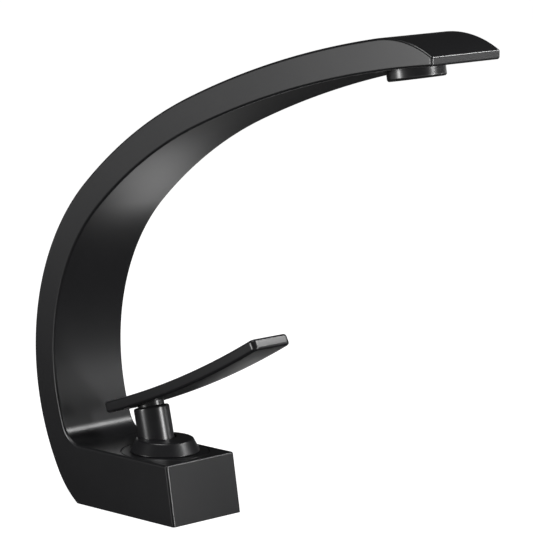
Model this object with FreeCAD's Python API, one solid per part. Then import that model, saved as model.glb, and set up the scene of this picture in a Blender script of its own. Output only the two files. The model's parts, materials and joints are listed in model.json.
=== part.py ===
import FreeCAD, Part
import math
import os

# Single-lever basin mixer with a C-shaped ribbon spout.
# Millimetres, +Z up, +X towards the spout tip.
# The origin lies on the cartridge axis in the plane of the deck.

# Spout ribbon and foot block
body_width = 45.0
base_front = 30.0
block_height = 29.4
front_lean = 5.0
spout_thickness = 14.6
spine_start_x = -47.6
spine_start_z = 18.1
spine_start_angle = 120.6
back_radius = 110.0
back_sweep_angle = 77.4
shoulder_radius = 246.0
shoulder_sweep_angle = 20.0
arm_radius = 540.0
foot_radius = 46.0
heel_radius = 12.0
tip_reach = 194.0
tip_round_radius = 50.0
tip_round_length = 33.51
edge_round = 1.2

# Waterway inside the ribbon
channel_thickness = 7.6
channel_width = 34.0
channel_drop = 8.0
outlet_port_radius = 2.4

# Aerator under the spout tip
aerator_setback = 30.0
aerator_flange_radius = 13.4
aerator_flange_drop = 5.0
aerator_recess_radius = 18.0
aerator_recess_depth = 1.2
aerator_thread_radius = 12.0
aerator_thread_length = 6.3
aerator_wall = 1.7
aerator_lip = 1.0
aerator_washer_height = 1.6
aerator_throat_radius = 8.6
aerator_throat_depth = 1.6
insert_wall = 1.4
insert_plate = 1.4
insert_hole_count = 12
regulator_height = 1.8
regulator_slot_count = 8
screen_thickness = 0.9
screen_hole_radius = 0.85
screen_pitch = 2.3
screen_rings = 3

# Cartridge, from its seat upwards
cartridge_radius = 12.5
cartridge_depth = 18.4
cartridge_base_height = 6.0
fixed_disc_height = 3.0
fixed_disc_radius = 9.8
moving_disc_height = 3.0
moving_disc_radius = 8.2
mixing_pocket_depth = 1.6
mixing_pocket_radius = 5.6
carriage_height = 2.8
housing_wall = 1.4
housing_neck_radius = 11.4
housing_lid_height = 1.3
turret_radius = 9.7
turret_neck_radius = 8.2
turret_foot_height = 2.9
turret_top_above_pivot = 2.4
spindle_width = 5.0
spindle_arm_radius = 1.3
spindle_ball_radius = 1.7
spindle_arm_length = 5.88
spindle_top_above_pivot = 13.0
pin_radius = 1.25
inlet_port_x = 2.5
inlet_port_y = 5.5
inlet_port_radius = 2.3
outlet_port_x = -5.5
outlet_hole_radius = 2.5
seal_wall = 1.1
seal_height = 1.2
turret_seal_height = 0.9
turret_seal_depth = 0.8
guide_key_width = 1.6
guide_key_depth = 1.0
guide_key_y = 6.0
guide_key_half_length = 4.5

# Retaining nut and cover ring
nut_radius = 14.0
nut_height = 4.4
nut_bore_radius = 11.6
nut_notch_width = 3.0
nut_notch_depth = 1.4
nut_notch_count = 6
cover_ring_radius = 21.4
cover_ring_height = 2.0
cover_neck_radius = 15.2
cover_neck_wall = 1.2
cover_neck_height = 1.3

# Handle
dome_base_radius = 17.2
dome_top_radius = 13.9
dome_height = 6.3
dome_roof = 1.3
dome_wall = 1.6
dome_round = 1.4
stem_radius = 8.8
stem_set_back = 5.0
stem_foot_below_dome = 1.0
stem_length = 17.0
stem_neck_radius = 6.6
stem_socket_depth_gap = 0.5
stud_radius = 3.0
stud_depth = 3.0
stud_cover = 1.0
lever_width = 24.0
lever_thickness = 5.7
lever_length = 114.6
lever_radius = 540.0
lever_rear_x = -31.0
lever_rear_below_stem = 4.3
lever_rear_angle = 17.7
lever_round = 1.4
lever_corner_round = 2.6
set_screw_radius = 2.5
set_screw_above_pivot = 9.5
set_screw_length = 4.0
hex_socket_radius = 1.3
hex_socket_depth = 2.0
lift_closed_angle = 13.5
lift_open_angle = 8.0

# Inlets, gasket and fixings under the deck
inlet_thread_radius = 4.5
inlet_floor_wall = 2.5
inlet_thread_y = 9.0
gasket_outer_radius = 21.0
gasket_inner_radius = 18.4
gasket_height = 2.0
fixing_stud_radius = 4.0
fixing_stud_x = -11.0
fixing_stud_floor_wall = 2.0
fixing_stud_below = 48.0
deck_thickness = 20.0
horseshoe_radius = 26.0
horseshoe_gasket_height = 3.0
horseshoe_plate_height = 2.0
horseshoe_slot_half_width = 16.0
horseshoe_slot_back = -4.0
fixing_nut_radius = 7.5
fixing_nut_height = 8.0

# Clearances
running_gap = 0.08
thread_gap = 0.05
seat_gap = 0.1
side_gap = 0.2
swing_gap = 0.35
disc_gap = 0.02
over_cut = 1.0

LINE = "Part::GeomLine"


def vec(x, y, z):
    return FreeCAD.Vector(x, y, z)


def cylinder(radius, bottom, top, x=0.0, y=0.0):
    """Upright cylinder between two heights."""
    return Part.makeCylinder(radius, top - bottom, vec(x, y, bottom))


def tube(outer, inner, bottom, top, x=0.0, y=0.0):
    """Upright tube between two heights."""
    hole = cylinder(inner, bottom - over_cut, top + over_cut, x, y)
    return cylinder(outer, bottom, top, x, y).cut(hole)


def block(x0, x1, y0, y1, z0, z1):
    """Box from its two corners."""
    return Part.makeBox(x1 - x0, y1 - y0, z1 - z0, vec(x0, y0, z0))


def hex_prism(radius, bottom, top, x=0.0, y=0.0):
    """Upright hexagonal prism, with the radius to its corners."""
    corners = []
    for index in range(7):
        angle = math.radians(60.0 * index)
        corners.append(vec(x + radius * math.cos(angle), y + radius * math.sin(angle), bottom))
    return Part.Face(Part.makePolygon(corners)).extrude(vec(0, 0, top - bottom))


def left_normal(heading):
    """Unit vector to the left of a heading in the XZ plane, in degrees from +X."""
    angle = math.radians(heading)
    return vec(-math.sin(angle), 0, math.cos(angle))


def forward(heading):
    """Unit vector along a heading in the XZ plane."""
    angle = math.radians(heading)
    return vec(math.cos(angle), 0, math.sin(angle))


class Bend:
    """Circular stretch of the ribbon's spine that turns right between two headings."""

    def __init__(self, centre, radius, start_heading, end_heading):
        self.centre = centre
        self.radius = radius
        self.start_heading = start_heading
        self.end_heading = end_heading

    def point(self, heading, offset=0.0):
        """Point at a heading, moved to the left of the spine by an offset."""
        return self.centre + left_normal(heading) * (self.radius + offset)

    def heading_at_x(self, x, offset=0.0):
        """Heading where the offset curve reaches a given X."""
        return math.degrees(math.asin((self.centre.x - x) / (self.radius + offset)))

    def edge(self, offset=0.0, start=None, end=None):
        """Arc of the offset curve between two headings."""
        first = self.start_heading if start is None else start
        last = self.end_heading if end is None else end
        middle = (first + last) / 2.0
        arc = Part.Arc(self.point(first, offset), self.point(middle, offset), self.point(last, offset))
        return arc.toShape()


def make_spine():
    """Three tangent bends of the ribbon's middle line, from the foot to the tip."""
    position = vec(spine_start_x, 0, spine_start_z)
    heading = spine_start_angle
    bends = []
    for radius, sweep in ((back_radius, back_sweep_angle), (shoulder_radius, shoulder_sweep_angle)):
        centre = position - left_normal(heading) * radius
        bends.append(Bend(centre, radius, heading, heading - sweep))
        position = bends[-1].point(heading - sweep)
        heading = heading - sweep
    centre = position - left_normal(heading) * arm_radius
    arm = Bend(centre, arm_radius, heading, heading)
    arm.end_heading = arm.heading_at_x(tip_reach, -spout_thickness / 2.0)
    bends.append(arm)
    return bends


spine = make_spine()
half_thickness = spout_thickness / 2.0
aerator_reach = tip_reach - aerator_setback
cartridge_floor = block_height - cartridge_depth
inlet_thread_depth = cartridge_floor - inlet_floor_wall
fixing_stud_seat = cartridge_floor - fixing_stud_floor_wall
nut_top = block_height - cover_ring_height
housing_shoulder = nut_top - nut_height


def ribbon_profile():
    """Closed outline of foot block and ribbon in the plane Y = 0."""
    back, shoulder, arm = spine
    outer_start = back.point(back.start_heading, half_thickness)
    foot_centre = outer_start - left_normal(back.start_heading) * foot_radius
    foot_heading = math.degrees(math.acos(-foot_centre.z / foot_radius))
    foot = Bend(foot_centre, foot_radius, foot_heading, back.start_heading)
    tip_round_heading = arm.heading_at_x(tip_reach - tip_round_length, half_thickness)
    tip_start = arm.point(tip_round_heading, half_thickness)
    tip_centre = tip_start - left_normal(tip_round_heading) * tip_round_radius
    tip = Bend(tip_centre, tip_round_radius, tip_round_heading, tip_round_heading)
    tip.end_heading = tip.heading_at_x(tip_reach)
    inner_radius = back.radius - half_thickness
    heel_z = block_height + heel_radius
    reach = math.sqrt((inner_radius - heel_radius) ** 2 - (heel_z - back.centre.z) ** 2)
    heel_centre = vec(back.centre.x - reach, 0, heel_z)
    heel_direction = (heel_centre - back.centre).normalize()
    heel_heading = math.degrees(math.atan2(-heel_direction.x, heel_direction.z))
    heel_end = vec(heel_centre.x, 0, block_height)
    heel_start = back.point(heel_heading, -half_thickness)
    heel_middle = heel_centre + (heel_direction + vec(0, 0, -1)).normalize() * heel_radius
    tip_bottom = arm.point(arm.end_heading, -half_thickness)
    front_top = vec(base_front - front_lean, 0, block_height)
    front_bottom = vec(base_front, 0, 0)
    edges = [
        foot.edge(),
        back.edge(half_thickness),
        shoulder.edge(half_thickness),
        arm.edge(half_thickness, end=tip_round_heading),
        tip.edge(),
        Part.LineSegment(tip.point(tip.end_heading), tip_bottom).toShape(),
        arm.edge(-half_thickness),
        shoulder.edge(-half_thickness),
        back.edge(-half_thickness, start=heel_heading),
        Part.Arc(heel_start, heel_middle, heel_end).toShape(),
        Part.LineSegment(heel_end, front_top).toShape(),
        Part.LineSegment(front_top, front_bottom).toShape(),
        Part.LineSegment(front_bottom, foot.point(foot.start_heading)).toShape(),
    ]
    return Part.Wire(Part.__sortEdges__(edges))


def extrude_wide(wire, width):
    """Prism of an outline in the XZ plane, centred on Y = 0."""
    face = Part.Face(wire)
    face.translate(vec(0, -width / 2.0, 0))
    return face.extrude(vec(0, width, 0))


def channel_solid():
    """Waterway along the spine, from below the heel to the aerator."""
    back, shoulder, arm = spine
    half = channel_thickness / 2.0
    end_heading = arm.heading_at_x(aerator_reach + aerator_throat_radius)
    drop = forward(back.start_heading) * channel_drop
    starts = {}
    edges = []
    for side in (half, -half):
        starts[side] = back.point(back.start_heading, side) - drop
        edges.append(Part.LineSegment(starts[side], back.point(back.start_heading, side)).toShape())
        edges.append(back.edge(side))
        edges.append(shoulder.edge(side))
        edges.append(arm.edge(side, end=end_heading))
    edges.append(Part.LineSegment(starts[half], starts[-half]).toShape())
    edges.append(Part.LineSegment(arm.point(end_heading, half), arm.point(end_heading, -half)).toShape())
    return extrude_wide(Part.Wire(Part.__sortEdges__(edges)), channel_width)


def at_aerator(shape):
    """Move a shape from the aerator's own frame, z = 0 on the underside, to its place."""
    arm = spine[2]
    heading = arm.heading_at_x(aerator_reach, -half_thickness)
    place = arm.point(heading, -half_thickness)
    turn = FreeCAD.Rotation(vec(0, 1, 0), -heading)
    moved = shape.copy()
    moved.Placement = FreeCAD.Placement(place, turn).multiply(moved.Placement)
    return moved


aerator_spigot_top = aerator_recess_depth + aerator_thread_length
aerator_seat = aerator_spigot_top + aerator_washer_height


def rounded_edges(body):
    """Side edges above the deck, and the cross edges at the block's front and at the tip."""
    chosen = []
    for edge in body.Edges:
        box = edge.BoundBox
        on_side = box.YLength < edge_round and box.ZMax > edge_round
        at_tip = box.YLength > edge_round and box.XMin > tip_reach - edge_round
        at_front = box.XMin > base_front - front_lean - edge_round and box.ZMin > block_height - edge_round
        if on_side or at_tip or (at_front and box.XMax < base_front + edge_round):
            chosen.append(edge)
    return chosen


def make_spout_body():
    """Foot block and ribbon in one casting, with the waterway and every seat cut out of it."""
    body = extrude_wide(ribbon_profile(), body_width)
    body = body.makeFillet(edge_round, rounded_edges(body))
    port_start = vec(over_cut - cartridge_radius, 0, cartridge_floor + cartridge_base_height / 2.0)
    port = Part.makeCylinder(outlet_port_radius, port_start.x - spine_start_x, port_start, vec(-1, 0, 0))
    cuts = [
        channel_solid(),
        port,
        cylinder(cartridge_radius + seat_gap, cartridge_floor, block_height + over_cut),
        cylinder(nut_radius + thread_gap, housing_shoulder, block_height + over_cut),
        cylinder(cover_ring_radius + side_gap, nut_top, block_height + over_cut),
        tube(gasket_outer_radius + seat_gap, gasket_inner_radius - seat_gap, -over_cut, gasket_height),
        cylinder(fixing_stud_radius + thread_gap, -over_cut, fixing_stud_seat, fixing_stud_x),
        at_aerator(cylinder(aerator_recess_radius, -over_cut, aerator_recess_depth)),
        at_aerator(cylinder(aerator_thread_radius, 0, aerator_seat)),
        at_aerator(cylinder(aerator_throat_radius, 0, aerator_seat + aerator_throat_depth)),
    ]
    for side in (-1, 1):
        thread_y = side * inlet_thread_y
        passage_y = side * inlet_port_y
        passage_bottom = inlet_thread_depth - over_cut
        passage_top = cartridge_floor + over_cut
        cuts.append(cylinder(inlet_thread_radius, -over_cut, inlet_thread_depth, inlet_port_x, thread_y))
        cuts.append(cylinder(inlet_port_radius, passage_bottom, passage_top, inlet_port_x, passage_y))
    return body.cut(cuts)


def port_places():
    """Centres and radii of the cartridge's hot, cold and outlet ports."""
    return (
        (inlet_port_x, -inlet_port_y, inlet_port_radius),
        (inlet_port_x, inlet_port_y, inlet_port_radius),
        (outlet_port_x, 0.0, outlet_hole_radius),
    )


base_top = cartridge_floor + cartridge_base_height
fixed_top = base_top + fixed_disc_height
moving_bottom = fixed_top + disc_gap
moving_top = moving_bottom + moving_disc_height
carriage_top = moving_top + carriage_height


def make_cartridge_base():
    """Base with seal seats, two inlet ports and an outlet that turns to the back."""
    base = cylinder(cartridge_radius, cartridge_floor, base_top)
    below = cartridge_floor - over_cut
    seat_top = cartridge_floor + seal_height
    seat_bottom = base_top - seal_height
    cuts = []
    for x, y, radius in port_places():
        cuts.append(cylinder(radius + seal_wall + seat_gap, seat_bottom, base_top + over_cut, x, y))
    for x, y, radius in port_places()[:2]:
        cuts.append(cylinder(radius, below, base_top, x, y))
        cuts.append(cylinder(radius + seal_wall + seat_gap, below, seat_top, x, y))
    way_back = -cartridge_radius - over_cut
    half = outlet_hole_radius
    cuts.append(cylinder(outlet_hole_radius, seat_top, base_top, outlet_port_x))
    cuts.append(block(way_back, outlet_port_x, -half, half, seat_top, seat_bottom))
    return base.cut(cuts)


def make_inlet_seals():
    """Rings under the cartridge's two inlet ports."""
    top = cartridge_floor + seal_height
    rings = []
    for x, y, radius in port_places()[:2]:
        rings.append(tube(radius + seal_wall, radius, cartridge_floor, top, x, y))
    return Part.makeCompound(rings)


def make_disc_seals():
    """Rings between the cartridge base and the fixed disc, one at each port."""
    rings = []
    for x, y, radius in port_places():
        rings.append(tube(radius + seal_wall, radius, base_top - seal_height, base_top, x, y))
    return Part.makeCompound(rings)


def make_fixed_disc():
    """Ceramic disc that stands still, with the three ports."""
    disc = cylinder(fixed_disc_radius, base_top, fixed_top)
    holes = []
    for x, y, radius in port_places():
        holes.append(cylinder(radius, base_top - over_cut, fixed_top + over_cut, x, y))
    return disc.cut(holes)


def make_moving_disc():
    """Ceramic disc that slides on the fixed one, with its mixing pocket below."""
    disc = cylinder(moving_disc_radius, moving_bottom, moving_top)
    pocket = cylinder(mixing_pocket_radius, moving_bottom - over_cut, moving_bottom + mixing_pocket_depth)
    return disc.cut(pocket)


spindle_ball_height = moving_top + side_gap * 2.0 + spindle_ball_radius
pivot_height = spindle_ball_height + spindle_arm_length
turret_top = pivot_height + turret_top_above_pivot
spindle_top = pivot_height + spindle_top_above_pivot
set_screw_height = pivot_height + set_screw_above_pivot
rest_lift = math.radians(lift_closed_angle)
ball_rest_x = spindle_arm_length * math.sin(rest_lift)


def make_disc_carriage():
    """Carrier on the moving disc, with a socket for the spindle's ball and two guide grooves."""
    carriage = cylinder(moving_disc_radius, moving_top, carriage_top)
    socket_radius = spindle_ball_radius + side_gap
    cuts = [cylinder(socket_radius, moving_top + side_gap, carriage_top + over_cut, ball_rest_x)]
    groove = guide_key_width / 2.0 + side_gap
    for side in (-1, 1):
        middle = side * guide_key_y
        cuts.append(block(-moving_disc_radius, moving_disc_radius, middle - groove, middle + groove,
                          carriage_top - guide_key_depth, carriage_top + over_cut))
    return carriage.cut(cuts)


turret_bottom = carriage_top + side_gap
turret_shoulder = turret_bottom + turret_foot_height
lid_bottom = turret_shoulder + side_gap
lid_top = lid_bottom + housing_lid_height


def make_cartridge_housing():
    """Stepped cup over the discs, whose lid holds the turret down."""
    lower = cylinder(cartridge_radius, base_top, housing_shoulder)
    neck = cylinder(housing_neck_radius, base_top, lid_top)
    room = cylinder(cartridge_radius - housing_wall, base_top - over_cut, housing_shoulder - housing_wall)
    bore = cylinder(turret_radius + swing_gap, base_top - over_cut, lid_bottom)
    mouth = cylinder(turret_neck_radius + running_gap, lid_bottom - over_cut, lid_top + over_cut)
    return lower.fuse(neck).cut([room, bore, mouth])


def make_turret():
    """Turning top of the cartridge: slotted for the spindle, with keys that guide the carriage."""
    foot = cylinder(turret_radius, turret_bottom, turret_shoulder)
    neck = cylinder(turret_neck_radius, turret_bottom, turret_top)
    turret = foot.fuse(neck)
    half_key = guide_key_width / 2.0
    key_bottom = turret_bottom - guide_key_depth
    for side in (-1, 1):
        middle = side * guide_key_y
        key = block(-guide_key_half_length, guide_key_half_length, middle - half_key, middle + half_key,
                    key_bottom, turret_bottom)
        turret = turret.fuse(key)
    lean = math.tan(math.radians(lift_closed_angle + lift_open_angle))
    half_slot = spindle_width / 2.0 + side_gap
    slot_bottom = turret_bottom - over_cut
    slot_back = -half_slot - (turret_top - pivot_height) * lean - swing_gap
    slot_front = half_slot + swing_gap
    slot = block(slot_back, slot_front, -half_slot, half_slot, slot_bottom, turret_top + over_cut)
    arm_room = spindle_arm_radius + spindle_arm_length * lean + swing_gap
    low_slot = block(-half_slot, arm_room, -half_slot, half_slot, slot_bottom, pivot_height)
    pin_hole = across(pin_radius + disc_gap, turret_radius * 2)
    middle = lid_bottom + housing_lid_height / 2.0
    half_groove = turret_seal_height / 2.0 + thread_gap
    groove = tube(turret_neck_radius + over_cut, turret_neck_radius - turret_seal_depth,
                  middle - half_groove, middle + half_groove)
    return turret.removeSplitter().cut([slot, low_slot, pin_hole, groove])


def make_turret_seal():
    """Ring in the turret's groove, inside the housing's lid."""
    middle = lid_bottom + housing_lid_height / 2.0
    half = turret_seal_height / 2.0
    return tube(turret_neck_radius, turret_neck_radius - turret_seal_depth, middle - half, middle + half)


def across(radius, length):
    """Cylinder along Y through the lever's pivot."""
    return Part.makeCylinder(radius, length, vec(0, -length / 2.0, pivot_height), vec(0, 1, 0))


def lifted(shape):
    """Turn a shape about the pivot from the closed pose to the rest pose."""
    moved = shape.copy()
    moved.rotate(vec(0, 0, pivot_height), vec(0, -1, 0), lift_closed_angle)
    return moved


def make_spindle_pin():
    """Cross pin on which the spindle tilts."""
    half_length = turret_neck_radius - turret_seal_depth - side_gap
    return across(pin_radius, half_length * 2.0)


def make_spindle():
    """Square shank that tilts on the pin, with an arm and a ball below."""
    half = spindle_width / 2.0
    shank_bottom = pivot_height - half
    shank = block(-half, half, -half, half, shank_bottom, spindle_top)
    arm = cylinder(spindle_arm_radius, spindle_ball_height, shank_bottom)
    ball = Part.makeSphere(spindle_ball_radius, vec(0, 0, spindle_ball_height))
    spindle = shank.fuse([arm, ball]).removeSplitter()
    return lifted(spindle.cut(across(pin_radius + thread_gap, body_width)))


def make_retaining_nut():
    """Threaded ring that holds the cartridge down, notched for its spanner."""
    nut = tube(nut_radius, nut_bore_radius, housing_shoulder, nut_top)
    notches = []
    for index in range(nut_notch_count):
        notch = block(nut_bore_radius - over_cut, nut_radius - seal_wall, -nut_notch_width / 2.0,
                      nut_notch_width / 2.0, nut_top - nut_notch_depth, nut_top + over_cut)
        notch.rotate(vec(0, 0, 0), vec(0, 0, 1), 360.0 * index / nut_notch_count)
        notches.append(notch)
    return nut.cut(notches)


def make_cover_ring():
    """Flat cover let into the block's top, with a neck that guides the dome."""
    neck_top = block_height + cover_neck_height
    plate = cylinder(cover_ring_radius, nut_top, block_height)
    neck = cylinder(cover_neck_radius, nut_top, neck_top)
    bore = cylinder(cover_neck_radius - cover_neck_wall, nut_top - over_cut, neck_top + over_cut)
    return plate.fuse(neck).cut(bore)


dome_bottom = block_height + side_gap
dome_top = dome_bottom + dome_height
stem_foot = dome_top - stem_foot_below_dome
stem_top = stem_foot + stem_length
lever_rear_z = stem_top - lever_rear_below_stem


def stem_cylinder(radius, bottom, top):
    """Cylinder along the stem's axis, with heights as in the closed pose."""
    return lifted(cylinder(radius, bottom, top, -stem_set_back))


def make_dome():
    """Low tapered collar that turns with the handle, slotted to the back for the stem."""
    outer = Part.makeCone(dome_base_radius, dome_top_radius, dome_top - dome_bottom, vec(0, 0, dome_bottom))
    crown = [edge for edge in outer.Edges if edge.BoundBox.ZMin > dome_top - seat_gap]
    outer = outer.makeFillet(dome_round, crown)
    roof = dome_top - dome_roof
    guide_top = block_height + cover_neck_height + side_gap
    bore = cylinder(cover_neck_radius + running_gap, dome_bottom - over_cut, guide_top)
    room = Part.makeCone(cover_neck_radius + running_gap, dome_top_radius - dome_wall, roof - guide_top,
                         vec(0, 0, guide_top))
    slot_radius = stem_radius + swing_gap
    slot = cylinder(slot_radius, guide_top, dome_top + over_cut, -stem_set_back)
    way_out = block(-dome_base_radius - over_cut, -stem_set_back, -slot_radius, slot_radius,
                    guide_top, dome_top + over_cut)
    return outer.cut([bore, room, slot, way_out])


def make_stem():
    """Round stem with a narrower neck under the lever, socketed on the spindle."""
    shaft = stem_cylinder(stem_radius, stem_foot - stem_radius, stem_top)
    shaft = shaft.cut(block(-body_width, body_width, -body_width, body_width, 0, stem_foot))
    top_edges = [edge for edge in shaft.Edges if edge.BoundBox.ZMin > stem_top - stem_radius]
    shaft = shaft.makeFillet(edge_round, top_edges)
    neck = stem_cylinder(stem_neck_radius, stem_top - over_cut, stem_top + lever_thickness)
    neck = neck.cut(lever_slab())
    keep = [solid for solid in neck.Solids if solid.BoundBox.ZMin < stem_top]
    stem = shaft.fuse(keep).removeSplitter()
    half = spindle_width / 2.0 + thread_gap
    socket = block(-half, half, -half, half, pivot_height, spindle_top + stem_socket_depth_gap)
    screw_hole = along_back(set_screw_radius + thread_gap, body_width)
    stud_hole = stem_cylinder(stud_radius + thread_gap, stem_top - stud_depth, stem_top + lever_thickness)
    return stem.cut([lifted(socket), screw_hole, stud_hole])


def along_back(radius, length):
    """Cylinder from the spindle's back face towards the back, square to the spindle."""
    start = vec(-spindle_width / 2.0, 0, set_screw_height)
    return lifted(Part.makeCylinder(radius, length, start, vec(-1, 0, 0)))


def make_set_screw():
    """Headless screw that holds the stem on the spindle."""
    screw = along_back(set_screw_radius, set_screw_length)
    start = vec(-spindle_width / 2.0 - set_screw_length - over_cut, 0, set_screw_height)
    socket = hex_prism(hex_socket_radius, 0, hex_socket_depth + over_cut)
    socket.rotate(vec(0, 0, 0), vec(0, 1, 0), 90)
    socket.translate(start)
    return screw.cut(lifted(socket))


stud_top = stem_top + lever_thickness - stud_cover


def make_lever_stud():
    """Stud that joins the lever to the stem."""
    return stem_cylinder(stud_radius, stem_top - stud_depth, stud_top)


def lever_slab():
    """Upward-curved slab of the lever, with square ends."""
    half = lever_thickness / 2.0
    start = vec(lever_rear_x, 0, lever_rear_z)
    centre = start + left_normal(lever_rear_angle) * lever_radius
    tip_heading = lever_rear_angle + math.degrees(lever_length / lever_radius)
    headings = (lever_rear_angle, (lever_rear_angle + tip_heading) / 2.0, tip_heading)
    corners = []
    for radius in (lever_radius - half, lever_radius + half):
        corners.append([centre - left_normal(heading) * radius for heading in headings])
    top, bottom = corners
    edges = [
        Part.Arc(top[0], top[1], top[2]).toShape(),
        Part.LineSegment(top[2], bottom[2]).toShape(),
        Part.Arc(bottom[2], bottom[1], bottom[0]).toShape(),
        Part.LineSegment(bottom[0], top[0]).toShape(),
    ]
    return extrude_wide(Part.Wire(edges), lever_width)


def make_lever():
    """Lever with rounded corners and softened rims, blind-bored for its stud."""
    slab = lever_slab()
    longest_corner = lever_thickness + seat_gap
    corner_edges = [edge for edge in slab.Edges if edge.Length < longest_corner]
    slab = slab.makeFillet(lever_corner_round, corner_edges)
    rims = [edge for edge in slab.Edges if edge.Length > longest_corner or edge.Curve.TypeId != LINE]
    slab = slab.makeFillet(lever_round, rims)
    stud_hole = stem_cylinder(stud_radius + thread_gap, stem_top, stud_top)
    return slab.cut(stud_hole)


def make_aerator_shell():
    """Collar and threaded spigot of the aerator, with an inward lip at its mouth."""
    lip = -aerator_flange_drop + aerator_lip
    bore_radius = aerator_thread_radius - aerator_wall
    outer = cylinder(aerator_flange_radius, -aerator_flange_drop, aerator_recess_depth - seat_gap)
    rims = [edge for edge in outer.Edges if edge.Curve.TypeId != LINE and edge.BoundBox.ZMax < 0]
    outer = outer.makeFillet(edge_round, rims)
    spigot = cylinder(aerator_thread_radius - thread_gap, lip, aerator_spigot_top)
    bore = cylinder(bore_radius, lip, aerator_spigot_top + over_cut)
    mouth = cylinder(bore_radius - aerator_lip, -aerator_flange_drop - over_cut, lip)
    return at_aerator(outer.fuse(spigot).cut([bore, mouth]))


insert_radius = aerator_thread_radius - aerator_wall - seat_gap
insert_bottom = -aerator_flange_drop + aerator_lip
insert_bore = insert_radius - insert_wall
regulator_bottom = aerator_spigot_top - regulator_height
plate_bottom = regulator_bottom - insert_plate
screen_top = insert_bottom + screen_thickness


def make_aerator_insert():
    """Basket in the shell, with a pierced plate that breaks the flow into jets."""
    basket = tube(insert_radius, insert_bore, insert_bottom, aerator_spigot_top)
    plate = cylinder(insert_bore, plate_bottom, regulator_bottom)
    ring_radius = insert_bore - screen_pitch
    below = plate_bottom - over_cut
    above = regulator_bottom + over_cut
    holes = []
    for index in range(insert_hole_count):
        angle = 2.0 * math.pi * index / insert_hole_count
        x = ring_radius * math.cos(angle)
        y = ring_radius * math.sin(angle)
        holes.append(cylinder(screen_hole_radius, below, above, x, y))
    return at_aerator(basket.fuse(plate.cut(holes)).removeSplitter())


def make_flow_regulator():
    """Slotted disc on top of the basket that limits the flow."""
    disc = tube(insert_bore - seat_gap, screen_hole_radius, regulator_bottom, aerator_spigot_top)
    slot_outer = insert_bore - screen_pitch / 2.0
    slot_inner = slot_outer - screen_pitch
    half = screen_hole_radius / 2.0
    slots = []
    for index in range(regulator_slot_count):
        slot = block(slot_inner, slot_outer, -half, half,
                     regulator_bottom - over_cut, aerator_spigot_top + over_cut)
        slot.rotate(vec(0, 0, 0), vec(0, 0, 1), 360.0 * index / regulator_slot_count)
        slots.append(slot)
    return at_aerator(disc.cut(slots))


def make_aerator_screen():
    """Honeycomb grid at the aerator's mouth."""
    disc = cylinder(insert_bore - seat_gap, insert_bottom, screen_top)
    below = insert_bottom - over_cut
    above = screen_top + over_cut
    holes = []
    for row in range(-screen_rings, screen_rings + 1):
        for column in range(-screen_rings, screen_rings + 1):
            if abs(row + column) > screen_rings:
                continue
            x = screen_pitch * (column + row / 2.0)
            y = screen_pitch * row * math.sin(math.radians(60.0))
            holes.append(hex_prism(screen_hole_radius, below, above, x, y))
    return at_aerator(disc.cut(holes))


def make_aerator_washer():
    """Flat washer between the aerator's spigot and the seat in the spout."""
    outer = aerator_thread_radius - seat_gap
    return at_aerator(tube(outer, aerator_throat_radius, aerator_spigot_top, aerator_seat))


def make_base_gasket():
    """Ring in the groove under the block."""
    return tube(gasket_outer_radius, gasket_inner_radius, 0, gasket_height)


def make_fixing_stud():
    """Stud that pulls the block down onto the deck."""
    return cylinder(fixing_stud_radius, -fixing_stud_below, fixing_stud_seat, fixing_stud_x)


def horseshoe(bottom, top):
    """Horseshoe plate that clears both inlets and hangs on the stud."""
    plate = cylinder(horseshoe_radius, bottom, top)
    half = horseshoe_slot_half_width
    front = horseshoe_radius + over_cut
    slot = block(horseshoe_slot_back, front, -half, half, bottom - over_cut, top + over_cut)
    hole = cylinder(fixing_stud_radius + seat_gap, bottom - over_cut, top + over_cut, fixing_stud_x)
    return plate.cut([slot, hole])


gasket_bottom = -deck_thickness - horseshoe_gasket_height
plate_bottom_z = gasket_bottom - horseshoe_plate_height


def make_fixing_nut():
    """Hexagonal nut on the stud, under the plate."""
    bottom = plate_bottom_z - fixing_nut_height
    nut = hex_prism(fixing_nut_radius, bottom, plate_bottom_z, fixing_stud_x)
    bore_radius = fixing_stud_radius + thread_gap
    bore = cylinder(bore_radius, bottom - over_cut, plate_bottom_z + over_cut, fixing_stud_x)
    return nut.cut(bore)


pieces = {
    "spout_body": make_spout_body(),
    "cover_ring": make_cover_ring(),
    "retaining_nut": make_retaining_nut(),
    "cartridge_base": make_cartridge_base(),
    "inlet_seals": make_inlet_seals(),
    "disc_seals": make_disc_seals(),
    "fixed_disc": make_fixed_disc(),
    "moving_disc": make_moving_disc(),
    "disc_carriage": make_disc_carriage(),
    "cartridge_housing": make_cartridge_housing(),
    "cartridge_turret": make_turret(),
    "turret_seal": make_turret_seal(),
    "spindle": make_spindle(),
    "spindle_pin": make_spindle_pin(),
    "handle_dome": make_dome(),
    "handle_stem": make_stem(),
    "lever_paddle": make_lever(),
    "lever_stud": make_lever_stud(),
    "set_screw": make_set_screw(),
    "aerator_shell": make_aerator_shell(),
    "aerator_insert": make_aerator_insert(),
    "flow_regulator": make_flow_regulator(),
    "aerator_screen": make_aerator_screen(),
    "aerator_washer": make_aerator_washer(),
    "base_gasket": make_base_gasket(),
    "fixing_stud": make_fixing_stud(),
    "horseshoe_gasket": horseshoe(gasket_bottom, -deck_thickness),
    "horseshoe_plate": horseshoe(plate_bottom_z, gasket_bottom),
    "fixing_nut": make_fixing_nut(),
}

os.makedirs("parts", exist_ok=True)
for name, shape in pieces.items():
    shape.exportStep("parts/" + name + ".step")
    print(name, len(shape.Solids), round(shape.Volume), shape.isValid())
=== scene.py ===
import json
import math

import bmesh
import bpy
import numpy as np
from bpy.props import FloatProperty, FloatVectorProperty, PointerProperty
from mathutils import Matrix, Vector


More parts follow.
